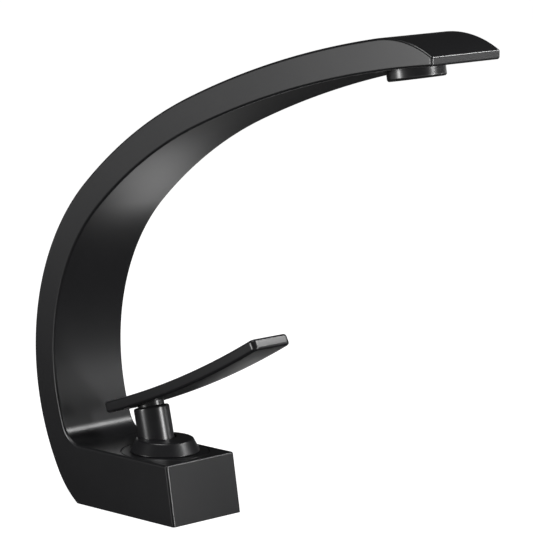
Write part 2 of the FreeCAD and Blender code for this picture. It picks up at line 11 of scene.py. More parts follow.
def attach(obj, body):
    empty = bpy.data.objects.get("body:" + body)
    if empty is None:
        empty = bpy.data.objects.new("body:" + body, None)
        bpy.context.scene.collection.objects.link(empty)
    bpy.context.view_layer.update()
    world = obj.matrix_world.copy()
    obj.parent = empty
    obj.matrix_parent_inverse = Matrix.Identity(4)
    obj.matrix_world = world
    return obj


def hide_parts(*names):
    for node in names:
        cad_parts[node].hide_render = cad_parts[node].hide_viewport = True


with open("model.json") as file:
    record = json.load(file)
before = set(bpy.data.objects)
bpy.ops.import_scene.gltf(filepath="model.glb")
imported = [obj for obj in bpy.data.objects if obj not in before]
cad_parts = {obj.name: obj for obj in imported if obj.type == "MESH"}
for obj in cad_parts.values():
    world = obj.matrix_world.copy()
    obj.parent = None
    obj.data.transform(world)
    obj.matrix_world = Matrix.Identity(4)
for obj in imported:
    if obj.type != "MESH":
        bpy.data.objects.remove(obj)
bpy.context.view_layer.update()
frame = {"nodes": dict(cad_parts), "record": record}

bl_info = {
    "name": "Ribbon Spout Mixer Tap",
    "version": (1, 0, 0),
    "blender": (4, 5, 0),
    "location": "View3D > Sidebar > Tap",
    "description": "Builds the visible surfaces and finishes of a single-lever mixer tap",
    "category": "Add Mesh",
}

MM = 0.001


def length(name, description, millimetres):
    """Length property whose default is written in millimetres."""
    return FloatProperty(
        name=name, description=description, default=millimetres * MM, unit="LENGTH", precision=5
    )


def angle(name, description, degrees):
    """Angle property whose default is written in degrees."""
    return FloatProperty(
        name=name, description=description, default=math.radians(degrees),
        unit="ROTATION", subtype="ANGLE",
    )


def colour(name, description, value):
    """Linear colour property without alpha."""
    return FloatVectorProperty(
        name=name, description=description, default=value, size=3, subtype="COLOR", min=0.0, max=1.0
    )


def share(name, description, value):
    """Plain factor property from 0 to 1."""
    return FloatProperty(name=name, description=description, default=value, min=0.0, max=1.0)


class SpoutSizes(bpy.types.PropertyGroup):
    """Sizes of the foot block and the ribbon spout"""

    width: length("Width", "Width of the block and the ribbon", 45.0)
    thickness: length("Thickness", "Thickness of the ribbon", 14.6)
    base_front: length("Base front", "Block's front at the deck, from the cartridge axis", 30.0)
    block_height: length("Block height", "Height of the block's top", 29.4)
    front_lean: length("Front lean", "How far the block's front leans back over its height", 5.0)
    start_x: length("Start X", "Start of the ribbon's middle line, forwards", -47.6)
    start_z: length("Start Z", "Start of the ribbon's middle line, upwards", 18.1)
    start_angle: angle("Start angle", "Heading of the middle line at its start", 120.6)
    back_radius: length("Back radius", "Radius of the back bend", 110.0)
    back_sweep: angle("Back sweep", "Turn of the back bend", 77.4)
    shoulder_radius: length("Shoulder radius", "Radius of the shoulder bend", 246.0)
    shoulder_sweep: angle("Shoulder sweep", "Turn of the shoulder bend", 20.0)
    arm_radius: length("Arm radius", "Radius of the arm over the basin", 540.0)
    foot_radius: length("Foot radius", "Radius of the bend from the back down to the deck", 46.0)
    heel_radius: length("Heel radius", "Hollow between the block's top and the ribbon", 12.0)
    tip_reach: length("Tip reach", "Tip face, from the cartridge axis", 194.0)
    tip_round_radius: length("Tip round", "Radius of the top where it falls to the tip", 50.0)
    tip_round_length: length("Tip round length", "Length over which the top falls to the tip", 33.51)
    edge_round: length("Edge round", "Softening of the long edges", 1.2)


class CartridgeSizes(bpy.types.PropertyGroup):
    """Seats cut into the foot block"""

    cover_radius: length("Cover radius", "Flat cover around the handle", 21.4)
    cover_height: length("Cover height", "Thickness of the cover", 2.0)
    cover_gap: length("Cover gap", "Gap around the cover", 0.2)
    neck_radius: length("Neck radius", "Raised neck of the cover", 15.2)
    neck_wall: length("Neck wall", "Wall of the cover's neck", 1.2)
    neck_height: length("Neck height", "Height of the neck over the block", 1.3)
    nut_radius: length("Nut radius", "Bore for the retaining nut", 14.05)
    nut_height: length("Nut height", "Height of the retaining nut", 4.4)
    bore_radius: length("Bore radius", "Bore for the cartridge", 12.6)
    depth: length("Depth", "Depth of the cartridge bore", 18.4)
    gasket_outer: length("Gasket outer", "Outer radius of the gasket groove", 21.1)
    gasket_inner: length("Gasket inner", "Inner radius of the gasket groove", 18.3)
    gasket_height: length("Gasket height", "Depth of the gasket groove", 2.0)
    inlet_radius: length("Inlet radius", "Hose thread in the block", 4.5)
    inlet_depth: length("Inlet depth", "Depth of the hose thread", 8.5)
    inlet_x: length("Inlet X", "Hose threads, forwards of the axis", 2.5)
    inlet_y: length("Inlet Y", "Hose threads, to each side", 9.0)
    stud_radius: length("Stud radius", "Hole for the fixing stud", 4.05)
    stud_x: length("Stud X", "Fixing stud, forwards of the axis", -11.0)
    stud_depth: length("Stud depth", "Depth of the stud's hole", 9.0)


class HandleSizes(bpy.types.PropertyGroup):
    """Sizes of the dome, the stem and the lever"""

    pivot_height: length("Pivot height", "Height of the pin that the handle tilts on", 31.0)
    rest_lift: angle("Rest lift", "Lift of the handle from closed to its rest pose", 13.5)
    dome_base_radius: length("Dome base", "Radius of the dome's foot", 17.2)
    dome_top_radius: length("Dome top", "Radius of the dome's top", 13.9)
    dome_bottom: length("Dome bottom", "Height of the dome's foot", 29.6)
    dome_height: length("Dome height", "Height of the dome", 6.3)
    dome_round: length("Dome round", "Softening of the dome's crown", 1.4)
    dome_wall: length("Dome wall", "Wall of the dome", 1.6)
    dome_guide_radius: length("Dome guide", "Bore of the dome on the cover's neck", 15.28)
    stem_radius: length("Stem radius", "Radius of the stem", 8.8)
    stem_set_back: length("Stem set-back", "Stem's axis behind the pivot when closed", 5.0)
    stem_foot: length("Stem foot", "Height of the stem's foot", 34.9)
    stem_top: length("Stem top", "Height of the stem's shoulder when closed", 51.9)
    stem_round: length("Stem round", "Softening of the stem's shoulder", 1.2)
    neck_radius: length("Neck radius", "Radius of the neck under the lever", 6.6)
    neck_length: length("Neck length", "Length of the neck, with the part let into the lever", 4.0)
    screw_radius: length("Screw radius", "Hole of the set screw", 2.55)
    screw_height: length("Screw height", "Height of the set screw when closed", 40.5)
    swing_gap: length("Swing gap", "Room for the stem in the dome's slot", 0.35)
    lever_width: length("Lever width", "Width of the lever", 24.0)
    lever_thickness: length("Lever thickness", "Thickness of the lever", 5.7)
    lever_length: length("Lever length", "Length of the lever along its bend", 114.6)
    lever_radius: length("Lever radius", "Radius of the lever's bend", 540.0)
    lever_rear_x: length("Lever rear X", "Rear end of the lever, forwards", -31.0)
    lever_rear_z: length("Lever rear Z", "Rear end of the lever, upwards", 47.6)
    lever_rear_angle: angle("Lever rear angle", "Slope of the lever at its rear end", 17.7)
    lever_corner: length("Lever corner", "Rounding of the lever's four corners", 2.6)
    lever_rim: length("Lever rim", "Softening of the lever's rims", 1.4)


class AeratorSizes(bpy.types.PropertyGroup):
    """Sizes of the aerator shell and its seat"""

    setback: length("Setback", "Aerator's axis behind the tip", 30.0)
    flange_radius: length("Flange radius", "Radius of the collar", 13.4)
    flange_drop: length("Flange drop", "How far the collar hangs below the spout", 5.0)
    recess_radius: length("Recess radius", "Shallow round recess around the collar", 18.0)
    recess_depth: length("Recess depth", "Depth of the recess", 1.2)
    thread_radius: length("Thread radius", "Threaded hole in the spout", 12.0)
    thread_gap: length("Thread gap", "Clearance of the thread", 0.05)
    spigot_length: length("Spigot length", "Length of the threaded spigot above the recess", 6.3)
    seat_depth: length("Seat depth", "Depth of the hole for spigot and washer", 9.1)
    throat_radius: length("Throat radius", "Waterway above the washer", 8.6)
    throat_depth: length("Throat depth", "Depth of the waterway above the washer", 1.6)
    wall: length("Wall", "Wall of the spigot", 1.7)
    lip: length("Lip", "Inward lip at the mouth", 1.0)


class FinishColours(bpy.types.PropertyGroup):
    """Colours and gloss of the finishes"""

    coat: colour("Black coat", "Satin black coat on the metal", (0.011, 0.011, 0.012))
    coat_roughness: share("Coat roughness", "Roughness of the black coat", 0.3)
    brass: colour("Brass", "Brass of the nuts and the spindle", (0.62, 0.44, 0.17))
    steel: colour("Steel", "Steel of the studs, screw and plate", (0.56, 0.56, 0.57))
    pale_plastic: colour("Pale plastic", "Plastic of the cartridge", (0.72, 0.73, 0.73))
    dark_plastic: colour("Dark plastic", "Plastic of the aerator's inside", (0.06, 0.06, 0.065))
    ceramic: colour("Ceramic", "Ceramic of the discs", (0.82, 0.81, 0.77))
    rubber: colour("Rubber", "Rubber of the seals and gaskets", (0.022, 0.022, 0.022))


class StageSizes(bpy.types.PropertyGroup):
    """Camera, floor and light"""

    azimuth: angle("Azimuth", "Camera's turn around the tap", 45.206)
    elevation: angle("Elevation", "Camera's height above the horizon", 9.6265)
    camera_place: FloatVectorProperty(
        name="Camera place", description="Where the camera stands", default=(1.1391, -1.0612, 0.38435),
        size=3, subtype="TRANSLATION", unit="LENGTH",
    )
    focal_pixels: FloatProperty(
        name="Focal length in pixels", description="Focal length for a 533 pixel frame", default=3267.7
    )
    floor_half: length("Floor", "Half the floor's side", 20000.0)
    # Place and fade of the painted dark reflection: a dark sheet that only reflections see, darkest
    # round this point
    dark_reflection_x: length("Dark reflection X", "Middle of the painted dark reflection, forwards", -350.0)
    dark_reflection_y: length("Dark reflection Y", "Middle of the painted dark reflection, to the left", 450.0)
    dark_reflection_core: length("Dark reflection core", "Radius within which the card is fully dark", 650.0)
    dark_reflection_radius: length("Dark reflection radius", "Radius at which the card has faded out", 2100.0)


def left_normal(heading):
    """Unit vector to the left of a heading in the XZ plane, as (x, z)."""
    return np.stack([-np.sin(heading), np.cos(heading)], axis=-1)


class Bend:
    """Circular stretch of the ribbon's middle line that turns right between two headings."""

    def __init__(self, centre, radius, start, end):
        self.centre = np.asarray(centre)
        self.radius = radius
        self.start = start
        self.end = end

    def point(self, heading, offset=0.0):
        """Centre plus the left normal times the radius and an offset."""
        return self.centre + left_normal(np.asarray(heading)) * (self.radius + offset)

    def heading_at_x(self, x, offset=0.0):
        """Heading where the offset curve reaches a given X."""
        return math.asin((self.centre[0] - x) / (self.radius + offset))


def make_spine(sizes):
    """Three tangent bends: each starts where the last one ends, with the same heading."""
    position = np.array([sizes.start_x, sizes.start_z])
    heading = sizes.start_angle
    bends = []
    for radius, sweep in (
        (sizes.back_radius, sizes.back_sweep),
        (sizes.shoulder_radius, sizes.shoulder_sweep),
    ):
        centre = position - left_normal(heading) * radius
        bends.append(Bend(centre, radius, heading, heading - sweep))
        heading = heading - sweep
        position = bends[-1].point(heading)
    centre = position - left_normal(heading) * sizes.arm_radius
    arm = Bend(centre, sizes.arm_radius, heading, heading)
    arm.end = arm.heading_at_x(sizes.tip_reach, -sizes.thickness / 2)
    bends.append(arm)
    return bends


def arc(centre, radius, first, last, count, outward=1.0):
    """Points on a circle between two angles and their normals, without the last point."""
    turn = np.linspace(first, last, count, endpoint=False)
    normal = np.stack([np.cos(turn), np.sin(turn)], axis=-1)
    return np.asarray(centre) + radius * normal, outward * normal


def straight(first, last, normal, count):
    """Evenly spaced points from one point towards another, without the last, with one normal."""
    step = np.linspace(0.0, 1.0, count, endpoint=False)[:, None]
    points = np.asarray(first) * (1 - step) + np.asarray(last) * step
    return points, np.tile(np.asarray(normal), (count, 1))


def along(bend, start, end, count, offset, outward):
    """Points of a bend's offset curve between two headings, with normals to its left or right."""
    heading = np.linspace(start, end, count, endpoint=False)
    return bend.point(heading, offset), outward * left_normal(heading)


def joined(stretches):
    """One chain of points and normals from several stretches."""
    points = np.concatenate([points for points, normals in stretches])
    normals = np.concatenate([normals for points, normals in stretches])
    return points, normals


def level_inset(chain):
    """Turn the first normal level and lengthen it, so that an inset keeps the foot on the deck."""
    points, normals = chain
    normals[0] = (1.0 / normals[0][0], 0.0)
    return points, normals


def spout_chains(sizes):
    """Outer and inner outline of block and ribbon in the XZ plane, as two chains of equal count.

    Both run from the deck to the tip. The outer one is foot, back, shoulder, arm and tip round, and the
    inner one is front, block top, heel, back, shoulder and arm. Each ends in a small round at the tip.
    """
    back, shoulder, arm = make_spine(sizes)
    half = sizes.thickness / 2
    soft = sizes.edge_round
    foot_start = back.point(back.start, half)
    foot_centre = foot_start - left_normal(back.start) * sizes.foot_radius
    foot_heading = math.acos(-foot_centre[1] / sizes.foot_radius)
    foot = Bend(foot_centre, sizes.foot_radius, foot_heading, back.start)
    tip_heading = arm.heading_at_x(sizes.tip_reach - sizes.tip_round_length, half)
    tip_centre = arm.point(tip_heading, half) - left_normal(tip_heading) * sizes.tip_round_radius
    tip = Bend(tip_centre, sizes.tip_round_radius, tip_heading, tip_heading)
    top_x = sizes.tip_reach - soft
    tip_end = tip.heading_at_x(top_x, -soft)
    top_centre = tip.point(tip_end, -soft)
    under_heading = arm.heading_at_x(top_x, soft - half)
    under_centre = arm.point(under_heading, soft - half)

    heel_z = sizes.block_height + sizes.heel_radius
    inner_radius = back.radius - half
    reach = math.sqrt((inner_radius - sizes.heel_radius) ** 2 - (heel_z - back.centre[1]) ** 2)
    heel_centre = np.array([back.centre[0] - reach, heel_z])
    heel_turn = math.atan2(heel_z - back.centre[1], heel_centre[0] - back.centre[0])
    heel_heading = heel_turn + 1.5 * math.pi
    front_turn = math.atan2(sizes.front_lean, sizes.block_height)
    front_normal = np.array([math.cos(front_turn), math.sin(front_turn)])
    corner_z = sizes.block_height - soft
    corner_x = sizes.base_front - (soft + corner_z * front_normal[1]) / front_normal[0]
    corner = np.array([corner_x, corner_z])

    outer = joined([
        along(foot, foot.start, foot.end, 16, 0.0, 1.0),
        along(back, back.start, heel_heading, 40, half, 1.0),
        along(back, heel_heading, back.end, 110, half, 1.0),
        along(shoulder, shoulder.start, shoulder.end, 56, half, 1.0),
        along(arm, arm.start, tip_heading, 56, half, 1.0),
        along(tip, tip.start, tip_end, 40, 0.0, 1.0),
        arc(top_centre, soft, tip_end + math.pi / 2, 0.0, 8),
        (top_centre[None] + (soft, 0.0), np.array([[1.0, 0.0]])),
    ])
    inner = joined([
        straight((sizes.base_front, 0.0), corner + soft * front_normal, front_normal, 4),
        arc(corner, soft, front_turn, math.pi / 2, 8),
        straight(corner + (0.0, soft), (heel_centre[0], sizes.block_height), (0.0, 1.0), 14),
        arc(heel_centre, sizes.heel_radius, -math.pi / 2, heel_turn, 30, -1.0),
        along(back, heel_heading, back.end, 110, -half, -1.0),
        along(shoulder, shoulder.start, shoulder.end, 56, -half, -1.0),
        along(arm, arm.start, under_heading, 96, -half, -1.0),
        arc(under_centre, soft, under_heading - math.pi / 2, 0.0, 8),
        (under_centre[None] + (soft, 0.0), np.array([[1.0, 0.0]])),
    ])
    return level_inset(outer), level_inset(inner)


def grid_faces(rows, columns, wrap_rows, wrap_columns):
    """Quads between neighbouring rows and columns of a grid, closed on itself where asked."""
    row = np.arange(rows if wrap_rows else rows - 1)[:, None]
    column = np.arange(columns if wrap_columns else columns - 1)[None, :]
    next_row = (row + 1) % rows
    next_column = (column + 1) % columns
    corners = [row * columns + column, row * columns + next_column,
               next_row * columns + next_column, next_row * columns + column]
    return np.stack(np.broadcast_arrays(*corners), axis=-1).reshape(-1, 4)


def patch(points, wrap_rows=False, wrap_columns=False):
    """Surface patch: a grid of points and the quads between them."""
    rows, columns = points.shape[:2]
    return points.reshape(-1, 3), grid_faces(rows, columns, wrap_rows, wrap_columns)


def new_object(name, patches):
    """Closed mesh from patches that share their borders, with doubles merged and normals outwards."""
    vertices = []
    faces = []
    count = 0
    for points, quads in patches:
        vertices.append(points)
        faces.append(quads + count)
        count += len(points)
    mesh = bpy.data.meshes.new(name)
    mesh.from_pydata(np.concatenate(vertices).tolist(), [], np.concatenate(faces).tolist())
    work = bmesh.new()
    work.from_mesh(mesh)
    bmesh.ops.remove_doubles(work, verts=work.verts, dist=1e-6)
    bmesh.ops.dissolve_degenerate(work, edges=work.edges, dist=1e-7)
    bmesh.ops.recalc_face_normals(work, faces=work.faces)
    work.to_mesh(mesh)
    work.free()
    piece = bpy.data.objects.new(name, mesh)
    bpy.context.scene.collection.objects.link(piece)
    return piece


def cut_out(piece, cutters):
    """Take closed cutters away from a closed piece, and remove them."""
    for cutter in cutters:
        difference = piece.modifiers.new(cutter.name, "BOOLEAN")
        difference.operation = "DIFFERENCE"
        difference.solver = "EXACT"
        difference.object = cutter
    bpy.context.view_layer.update()
    graph = bpy.context.evaluated_depsgraph_get()
    mesh = bpy.data.meshes.new_from_object(piece.evaluated_get(graph))
    piece.modifiers.clear()
    plain = piece.data
    piece.data = mesh
    bpy.data.meshes.remove(plain)
    for cutter in cutters:
        bpy.data.objects.remove(cutter)
    mesh.name = piece.name


def settle(piece, material, body, node):
    """Smooth the piece, give it its finish and let it stand for its node on its body."""
    mesh = piece.data
    mesh.materials.clear()
    mesh.materials.append(material)
    mesh.polygons.foreach_set("use_smooth", np.ones(len(mesh.polygons), dtype=bool))
    mesh.set_sharp_from_angle(angle=math.radians(32.0))
    weighted = piece.modifiers.new("flat faces first", "WEIGHTED_NORMAL")
    weighted.keep_sharp = True
    weighted.weight = 80
    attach(piece, body)
    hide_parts(node)


def rounded(corners, steps=7):
    """Profile through corners (radius, height, round), each softened by an arc tangent to both sides."""
    points = np.array([corner[:2] for corner in corners])
    outline = []
    for index, (radius, height, soft) in enumerate(corners):
        here = points[index]
        if soft == 0.0:
            outline.append(here[None])
            continue
        before = points[index - 1] - here
        after = points[(index + 1) % len(points)] - here
        before = before / np.linalg.norm(before)
        after = after / np.linalg.norm(after)
        half_turn = math.acos(float(np.clip(before @ after, -1.0, 1.0))) / 2
        middle = (before + after) / np.linalg.norm(before + after)
        centre = here + middle * soft / math.sin(half_turn)
        reach = soft / math.tan(half_turn)
        first = (here + before * reach - centre) / soft
        last = (here + after * reach - centre) / soft
        swing = math.acos(float(np.clip(first @ last, -1.0, 1.0)))
        step = np.linspace(0.0, 1.0, steps)[:, None]
        sweep = np.sin((1 - step) * swing) * first + np.sin(step * swing) * last
        outline.append(centre + soft * sweep / math.sin(swing))
    return np.concatenate(outline)


def turned(profile, segments=96, place=None):
    """Surface of revolution: a closed profile of (radius, height) swept once round the upright axis."""
    turn = np.linspace(0.0, 2 * math.pi, segments, endpoint=False)[:, None]
    radius = profile[None, :, 0]
    height = np.broadcast_to(profile[None, :, 1], (segments, len(profile)))
    points = np.stack([np.cos(turn) * radius, np.sin(turn) * radius, height], axis=-1)
    return patch(placed(points, place), wrap_rows=True, wrap_columns=True)


def placed(points, place):
    """Points moved by a 4 by 4 matrix, or as they are."""
    if place is None:
        return points
    matrix = np.array(place)
    return points @ matrix[:3, :3].T + matrix[:3, 3]


def shaft(radius, bottom, top, x=0.0, y=0.0, segments=64):
    """Closed upright cylinder at a place in plan."""
    profile = np.array([(0.0, bottom), (radius, bottom), (radius, top), (0.0, top)])
    return turned(profile, segments, Matrix.Translation((x, y, 0.0)))


def lift_matrix(sizes):
    """Turn about the pivot from the closed pose to the rest pose, tip upwards."""
    pivot = Matrix.Translation((0.0, 0.0, sizes.pivot_height))
    return pivot @ Matrix.Rotation(-sizes.rest_lift, 4, "Y") @ pivot.inverted()


def aerator_matrix(spout, aerator):
    """Place of the aerator: on the arm's underside, square to it."""
    arm = make_spine(spout)[2]
    half = spout.thickness / 2
    heading = arm.heading_at_x(spout.tip_reach - aerator.setback, -half)
    x, z = arm.point(heading, -half)
    return Matrix.Translation((x, 0.0, z)) @ Matrix.Rotation(-heading, 4, "Y")


def ribbon_patches(sizes):
    """Band round the outline with rounded side edges, and the two flat sides.

    Row k of the band is the outline drawn in by r (1 - sin a) at the width W/2 - r (1 - cos a), with a
    from 0 on the side face to a right angle on the outline itself. The flat sides are ruled between the
    outer and the inner chain.
    """
    (outer, outer_normals), (inner, inner_normals) = spout_chains(sizes)
    loop = np.concatenate([outer, inner[::-1]])
    normals = np.concatenate([outer_normals, inner_normals[::-1]])
    turn = np.linspace(0.0, math.pi / 2, 9)
    inset = sizes.edge_round * (1 - np.sin(turn))
    across = sizes.width / 2 - sizes.edge_round * (1 - np.cos(turn))
    inset = np.concatenate([inset, inset[::-1]])
    across = np.concatenate([-across, across[::-1]])
    flat = loop[None] - inset[:, None, None] * normals[None]
    level = np.broadcast_to(across[:, None], flat.shape[:2])
    band = np.stack([flat[..., 0], level, flat[..., 1]], axis=-1)
    count = len(outer)
    patches = [patch(band, wrap_columns=True)]
    for row in (band[0], band[-1]):
        patches.append(patch(np.stack([row[:count], row[count:][::-1]])))
    return patches


def block_cutters(spout, seats):
    """Closed cutters for the cover, nut and cartridge, the gasket, the inlets and the stud."""
    top = spout.block_height
    above = top + 2 * MM
    soft = 0.25 * MM
    recess = seats.cover_radius + seats.cover_gap
    cover_floor = top - seats.cover_height
    nut_floor = cover_floor - seats.nut_height
    seat = np.array([
        (0.0, top - seats.depth), (seats.bore_radius, top - seats.depth), (seats.bore_radius, nut_floor),
        (seats.nut_radius, nut_floor), (seats.nut_radius, cover_floor), (recess, cover_floor),
        (recess, top - soft), (recess + soft, top), (recess + soft, above), (0.0, above),
    ])
    below = -2 * MM
    groove = np.array([
        (seats.gasket_inner, below), (seats.gasket_outer, below),
        (seats.gasket_outer, seats.gasket_height), (seats.gasket_inner, seats.gasket_height),
    ])
    cutters = [
        new_object("cartridge_seat", [turned(seat, 128)]),
        new_object("gasket_groove", [turned(groove, 96)]),
    ]
    for side in (-1, 1):
        inlet = shaft(seats.inlet_radius, below, seats.inlet_depth, seats.inlet_x, side * seats.inlet_y)
        cutters.append(new_object("inlet", [inlet]))
    stud = shaft(seats.stud_radius, below, seats.stud_depth, seats.stud_x)
    cutters.append(new_object("stud_hole", [stud]))
    return cutters


def aerator_cutter(spout, aerator):
    """Closed cutter for the recess, the threaded hole and the throat above it."""
    throat_top = aerator.seat_depth + aerator.throat_depth
    below = -3 * MM
    profile = np.array([
        (0.0, below), (aerator.recess_radius, below), (aerator.recess_radius, aerator.recess_depth),
        (aerator.thread_radius, aerator.recess_depth), (aerator.thread_radius, aerator.seat_depth),
        (aerator.throat_radius, aerator.seat_depth), (aerator.throat_radius, throat_top),
        (0.0, throat_top),
    ])
    return new_object("aerator_seat", [turned(profile, 128, aerator_matrix(spout, aerator))])


def lever_point(sizes, distance, across, height):
    """Point of the lever: a distance along its bend, a place across it and a height over its middle.

    The bend's centre lies above, so the point is the centre minus the left normal of the local heading,
    rear angle plus distance over radius, times the radius less the height.
    """
    rear = np.array([sizes.lever_rear_x, sizes.lever_rear_z])
    centre = rear + left_normal(sizes.lever_rear_angle) * sizes.lever_radius
    heading = sizes.lever_rear_angle + distance / sizes.lever_radius
    flat = centre - left_normal(heading) * (sizes.lever_radius - height)[..., None]
    return np.stack([flat[..., 0], across, flat[..., 1]], axis=-1)


def lever_plan(sizes):
    """Plan of the lever: a rectangle with round corners, as a loop of points with outward normals."""
    corner = sizes.lever_corner
    half = sizes.lever_width / 2
    length_inside = sizes.lever_length - corner
    quarter = math.pi / 2
    near = joined([
        arc((corner, corner - half), corner, -math.pi, -quarter, 12),
        straight((corner, -half), (length_inside, -half), (0.0, -1.0), 80),
        arc((length_inside, corner - half), corner, -quarter, 0.0, 12),
        (np.array([[sizes.lever_length, corner - half]]), np.array([[1.0, 0.0]])),
    ])
    points, normals = near
    mirror = np.array([1.0, -1.0])
    plan = np.concatenate([points, (points * mirror)[::-1]])
    return plan, np.concatenate([normals, (normals * mirror)[::-1]])


def lever_patches(sizes):
    """Rim round the plan, softened above and below, and the ruled top and bottom.

    Row k of the rim is the plan drawn in by r (1 - sin a) at the height t/2 - r (1 - cos a) above the
    middle, and then the same below it.
    """
    plan, normals = lever_plan(sizes)
    turn = np.linspace(0.0, math.pi / 2, 8)
    inset = sizes.lever_rim * (1 - np.sin(turn))
    height = sizes.lever_thickness / 2 - sizes.lever_rim * (1 - np.cos(turn))
    inset = np.concatenate([inset, inset[::-1]])
    height = np.concatenate([height, -height[::-1]])
    flat = plan[None] - inset[:, None, None] * normals[None]
    level = np.broadcast_to(height[:, None], flat.shape[:2])
    rim = lever_point(sizes, flat[..., 0], flat[..., 1], level)
    count = len(plan) // 2
    patches = [patch(rim, wrap_columns=True)]
    for row in (rim[0], rim[-1]):
        patches.append(patch(np.stack([row[:count], row[count:][::-1]])))
    return patches


def stem_patch(sizes):
    """Stem: a profile swept round its own axis, lifted with the handle, with its foot cut level.

    A point's height along the axis is never less than the height at which the lifted point meets the
    level foot.
    """
    top = sizes.stem_top
    profile = rounded([
        (0.0, 0.0, 0.0), (sizes.stem_radius, 0.0, 0.0), (sizes.stem_radius, top, sizes.stem_round),
        (sizes.neck_radius, top, 0.3 * MM), (sizes.neck_radius, top + sizes.neck_length, 0.0),
        (0.0, top + sizes.neck_length, 0.0),
    ])
    turn = np.linspace(0.0, 2 * math.pi, 96, endpoint=False)[:, None]
    x = np.cos(turn) * profile[None, :, 0] - sizes.stem_set_back
    y = np.sin(turn) * profile[None, :, 0]
    lift = sizes.rest_lift
    foot_rise = sizes.stem_foot - sizes.pivot_height - x * math.sin(lift)
    foot = foot_rise / math.cos(lift) + sizes.pivot_height
    height = np.maximum(np.broadcast_to(profile[None, :, 1], x.shape), foot)
    points = placed(np.stack([x, y, height], axis=-1), lift_matrix(sizes))
    return patch(points, wrap_rows=True, wrap_columns=True)


def socket_input(group, name, kind, value):
    """Named input of a node group with its default."""
    socket = group.interface.new_socket(name, in_out="INPUT", socket_type=kind)
    socket.default_value = value
    return socket


def grain_group():
    """Fine grain of a finish: a roughness that drifts, and a height for its bump."""
    group = bpy.data.node_groups.new("fine grain", "ShaderNodeTree")
    socket_input(group, "Scale", "NodeSocketFloat", 900.0)
    socket_input(group, "Roughness", "NodeSocketFloat", 0.35)
    socket_input(group, "Drift", "NodeSocketFloat", 0.05)
    group.interface.new_socket("Roughness", in_out="OUTPUT", socket_type="NodeSocketFloat")
    group.interface.new_socket("Height", in_out="OUTPUT", socket_type="NodeSocketFloat")
    nodes, links = group.nodes, group.links
    inputs = nodes.new("NodeGroupInput")
    outputs = nodes.new("NodeGroupOutput")
    place = nodes.new("ShaderNodeTexCoord")
    fine = nodes.new("ShaderNodeTexNoise")
    fine.inputs["Detail"].default_value = 3.0
    broad = nodes.new("ShaderNodeTexNoise")
    broad.inputs["Scale"].default_value = 28.0
    broad.inputs["Detail"].default_value = 2.0
    centred = nodes.new("ShaderNodeMath")
    centred.operation = "SUBTRACT"
    centred.inputs[1].default_value = 0.5
    spread = nodes.new("ShaderNodeMath")
    spread.operation = "MULTIPLY_ADD"
    links.new(place.outputs["Object"], fine.inputs["Vector"])
    links.new(place.outputs["Object"], broad.inputs["Vector"])
    links.new(inputs.outputs["Scale"], fine.inputs["Scale"])
    links.new(broad.outputs["Fac"], centred.inputs[0])
    links.new(centred.outputs[0], spread.inputs[0])
    links.new(inputs.outputs["Drift"], spread.inputs[1])
    links.new(inputs.outputs["Roughness"], spread.inputs[2])
    links.new(spread.outputs[0], outputs.inputs["Roughness"])
    links.new(fine.outputs["Fac"], outputs.inputs["Height"])
    return group


def tone_group():
    """Slow drift of a colour over the surface, a little lighter and darker in soft patches."""
    group = bpy.data.node_groups.new("tone drift", "ShaderNodeTree")
    socket_input(group, "Colour", "NodeSocketColor", (0.5, 0.5, 0.5, 1.0))
    socket_input(group, "Scale", "NodeSocketFloat", 40.0)
    socket_input(group, "Drift", "NodeSocketFloat", 0.15)
    group.interface.new_socket("Colour", in_out="OUTPUT", socket_type="NodeSocketColor")
    nodes, links = group.nodes, group.links
    inputs = nodes.new("NodeGroupInput")
    outputs = nodes.new("NodeGroupOutput")
    place = nodes.new("ShaderNodeTexCoord")
    noise = nodes.new("ShaderNodeTexNoise")
    noise.inputs["Detail"].default_value = 4.0
    centred = nodes.new("ShaderNodeMath")
    centred.operation = "SUBTRACT"
    centred.inputs[1].default_value = 0.5
    spread = nodes.new("ShaderNodeMath")
    spread.operation = "MULTIPLY_ADD"
    spread.inputs[2].default_value = 1.0
    tint = nodes.new("ShaderNodeVectorMath")
    tint.operation = "SCALE"
    links.new(place.outputs["Object"], noise.inputs["Vector"])
    links.new(inputs.outputs["Scale"], noise.inputs["Scale"])
    links.new(noise.outputs["Fac"], centred.inputs[0])
    links.new(centred.outputs[0], spread.inputs[0])
    links.new(inputs.outputs["Drift"], spread.inputs[1])
    links.new(inputs.outputs["Colour"], tint.inputs[0])
    links.new(spread.outputs[0], tint.inputs["Scale"])
    links.new(tint.outputs[0], outputs.inputs["Colour"])
    return group


def lathe_group():
    """Fine turning marks: rings round the upright axis, as a height for a bump."""
    group = bpy.data.node_groups.new("turning marks", "ShaderNodeTree")
    socket_input(group, "Scale", "NodeSocketFloat", 700.0)
    group.interface.new_socket("Height", in_out="OUTPUT", socket_type="NodeSocketFloat")
    nodes, links = group.nodes, group.links
    inputs = nodes.new("NodeGroupInput")
    outputs = nodes.new("NodeGroupOutput")
    place = nodes.new("ShaderNodeTexCoord")
    rings = nodes.new("ShaderNodeTexWave")
    rings.wave_type = "BANDS"
    rings.bands_direction = "Z"
    rings.inputs["Distortion"].default_value = 0.6
    rings.inputs["Detail"].default_value = 2.0
    links.new(place.outputs["Object"], rings.inputs["Vector"])
    links.new(inputs.outputs["Scale"], rings.inputs["Scale"])
    links.new(rings.outputs["Fac"], outputs.inputs["Height"])
    return group


def shared_group(name, make):
    """Node group by name, made once."""
    return bpy.data.node_groups.get(name) or make()


